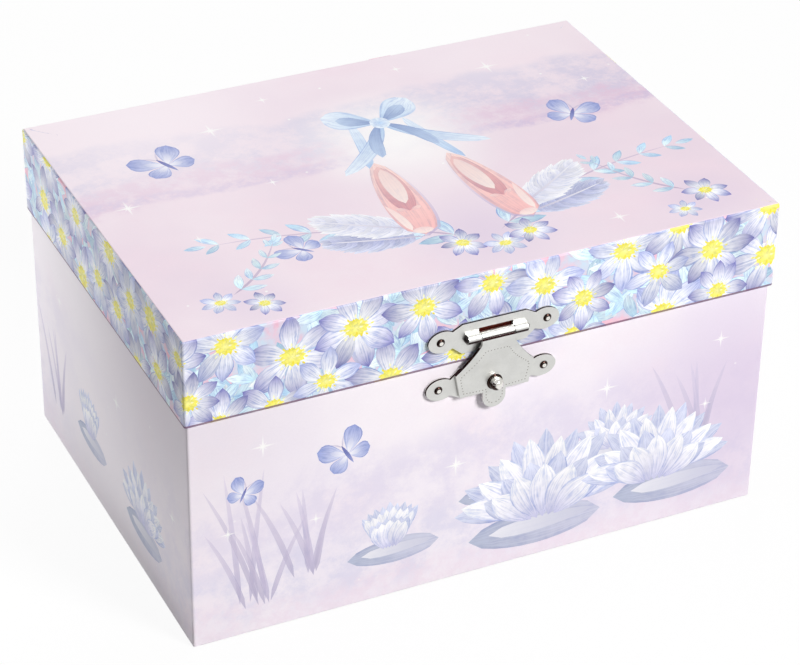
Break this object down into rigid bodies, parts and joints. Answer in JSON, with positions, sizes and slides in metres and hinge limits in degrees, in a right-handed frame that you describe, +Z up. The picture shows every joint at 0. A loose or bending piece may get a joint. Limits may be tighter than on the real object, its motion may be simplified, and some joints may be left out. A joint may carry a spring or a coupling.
{
  "type": "ballerina jewellery box",
  "caption": "Paper-covered musical jewellery box with hinged lid, metal latch, lined tray, mirror and a wind-up movement that turns a dancer.",
  "frame": {"origin": "centre of the base's underside, on the surface that it stands on", "axes": "+Z up; -Y is the front with the latch; +X is the right of someone facing the front"},
  "size_m": [0.152, 0.1276, 0.085],
  "materials": {
    "board": "raw fibreboard",
    "case_print": "matt printed paper, pale lavender wash",
    "lid_print": "matt printed paper, pink and lavender wash",
    "band_print": "matt printed paper, small floral pattern",
    "plain_paper": "matt plain paper",
    "velvet": "rose velvet on card",
    "satin": "satin",
    "mirror": "silvered glass",
    "bezel": "gilt moulding",
    "nickel": "bright nickel plate",
    "steel": "bright steel",
    "brass": "lacquered brass",
    "cast_plate": "cast zinc, satin",
    "doll": "painted plastic",
    "net": "stiff net",
    "fly_plastic": "white nylon"
  },
  "bodies": {
    "case": {"case_front_board": "board", "case_back_board": "board", "case_left_board": "board", "case_right_board": "board", "case_floor_board": "board", "partition_board": "board", "stage_deck": "board", "tray_divider": "board", "ring_shelf": "board", "case_wrap_paper": "case_print", "base_paper": "plain_paper", "tray_lining": "velvet", "stage_lining": "velvet", "ring_roll": "velvet", "lid_ribbon": "satin", "latch_lower_plate": "nickel", "case_nails": "nickel", "left_hinge_case_leaf": "nickel", "right_hinge_case_leaf": "nickel", "hinge_pins": "nickel", "music_comb": "steel", "bedplate_screws": "steel", "comb_screws": "steel", "cylinder_bearings": "steel", "governor_bracket": "steel", "spindle_bracket": "steel", "movement_bedplate": "cast_plate"},
    "lid": {"lid_top_board": "board", "lid_front_board": "board", "lid_back_board": "board", "lid_left_board": "board", "lid_right_board": "board", "lid_top_paper": "lid_print", "lid_band_paper": "band_print", "lid_lining": "satin", "lid_mirror": "mirror", "mirror_bezel": "bezel", "lid_press_block": "board", "left_hinge_lid_leaf": "nickel", "right_hinge_lid_leaf": "nickel", "lid_nails": "nickel", "latch_upper_plate": "nickel", "latch_pin": "nickel"},
    "hasp": {"latch_hasp": "nickel", "latch_ball": "nickel"},
    "winder": {"winding_arbor": "steel", "winding_key": "nickel"},
    "barrel": {"spring_barrel": "steel", "mainspring": "steel"},
    "cylinder": {"music_cylinder": "brass", "cylinder_arbor": "steel", "cylinder_pinion": "brass", "governor_wheel": "fly_plastic"},
    "fly": {"governor_fly": "fly_plastic"},
    "dancer": {"dancer_spindle": "steel", "spindle_pinion": "brass", "dancer_spring": "steel", "dancer_figure": "doll", "dancer_tutu": "net"},
    "stop": {"stop_rod": "steel"}
  },
  "joints": [
    {"name": "lid_hinge", "type": "hinge", "parent": "case", "child": "lid", "pos_m": [0, 0.05515, 0.0621], "axis": [-1, 0, 0], "range_deg": [0, 100], "deforming": ["lid_ribbon"]},
    {"name": "hasp_swing", "type": "hinge", "parent": "lid", "child": "hasp", "pos_m": [0.0006, -0.05535, 0.0689], "axis": [-1, 0, 0], "range_deg": [0, 150]},
    {"name": "winding_turn", "type": "hinge", "parent": "case", "child": "winder", "pos_m": [0, 0.0533, 0.0155], "axis": [0, 1, 0], "continuous": true},
    {"name": "barrel_turn", "type": "hinge", "parent": "case", "child": "barrel", "pos_m": [0, 0.04725, 0.0155], "axis": [0, 1, 0], "continuous": true},
    {"name": "cylinder_turn", "type": "hinge", "parent": "case", "child": "cylinder", "pos_m": [0.034, 0.03315, 0.0155], "axis": [1, 0, 0], "continuous": true},
    {"name": "fly_turn", "type": "hinge", "parent": "case", "child": "fly", "pos_m": [0.034, 0.04065, 0.0155], "axis": [0, 0, 1], "continuous": true},
    {"name": "dancer_turn", "type": "hinge", "parent": "case", "child": "dancer", "pos_m": [0, 0.03315, 0.0409], "axis": [0, 0, 1], "continuous": true},
    {"name": "stop_slide", "type": "slide", "parent": "case", "child": "stop", "axis": [0, 0, 1], "range_m": [0, 0.0031]}
  ],
  "couplings": [
    {"joint": "cylinder_turn", "follows": "barrel_turn", "ratio": -4},
    {"joint": "dancer_turn", "follows": "barrel_turn", "ratio": -4},
    {"joint": "fly_turn", "follows": "barrel_turn", "ratio": 96},
    {"joint": "stop_slide", "follows": "lid_hinge", "m_per_rad": 0.0017189}
  ]
}
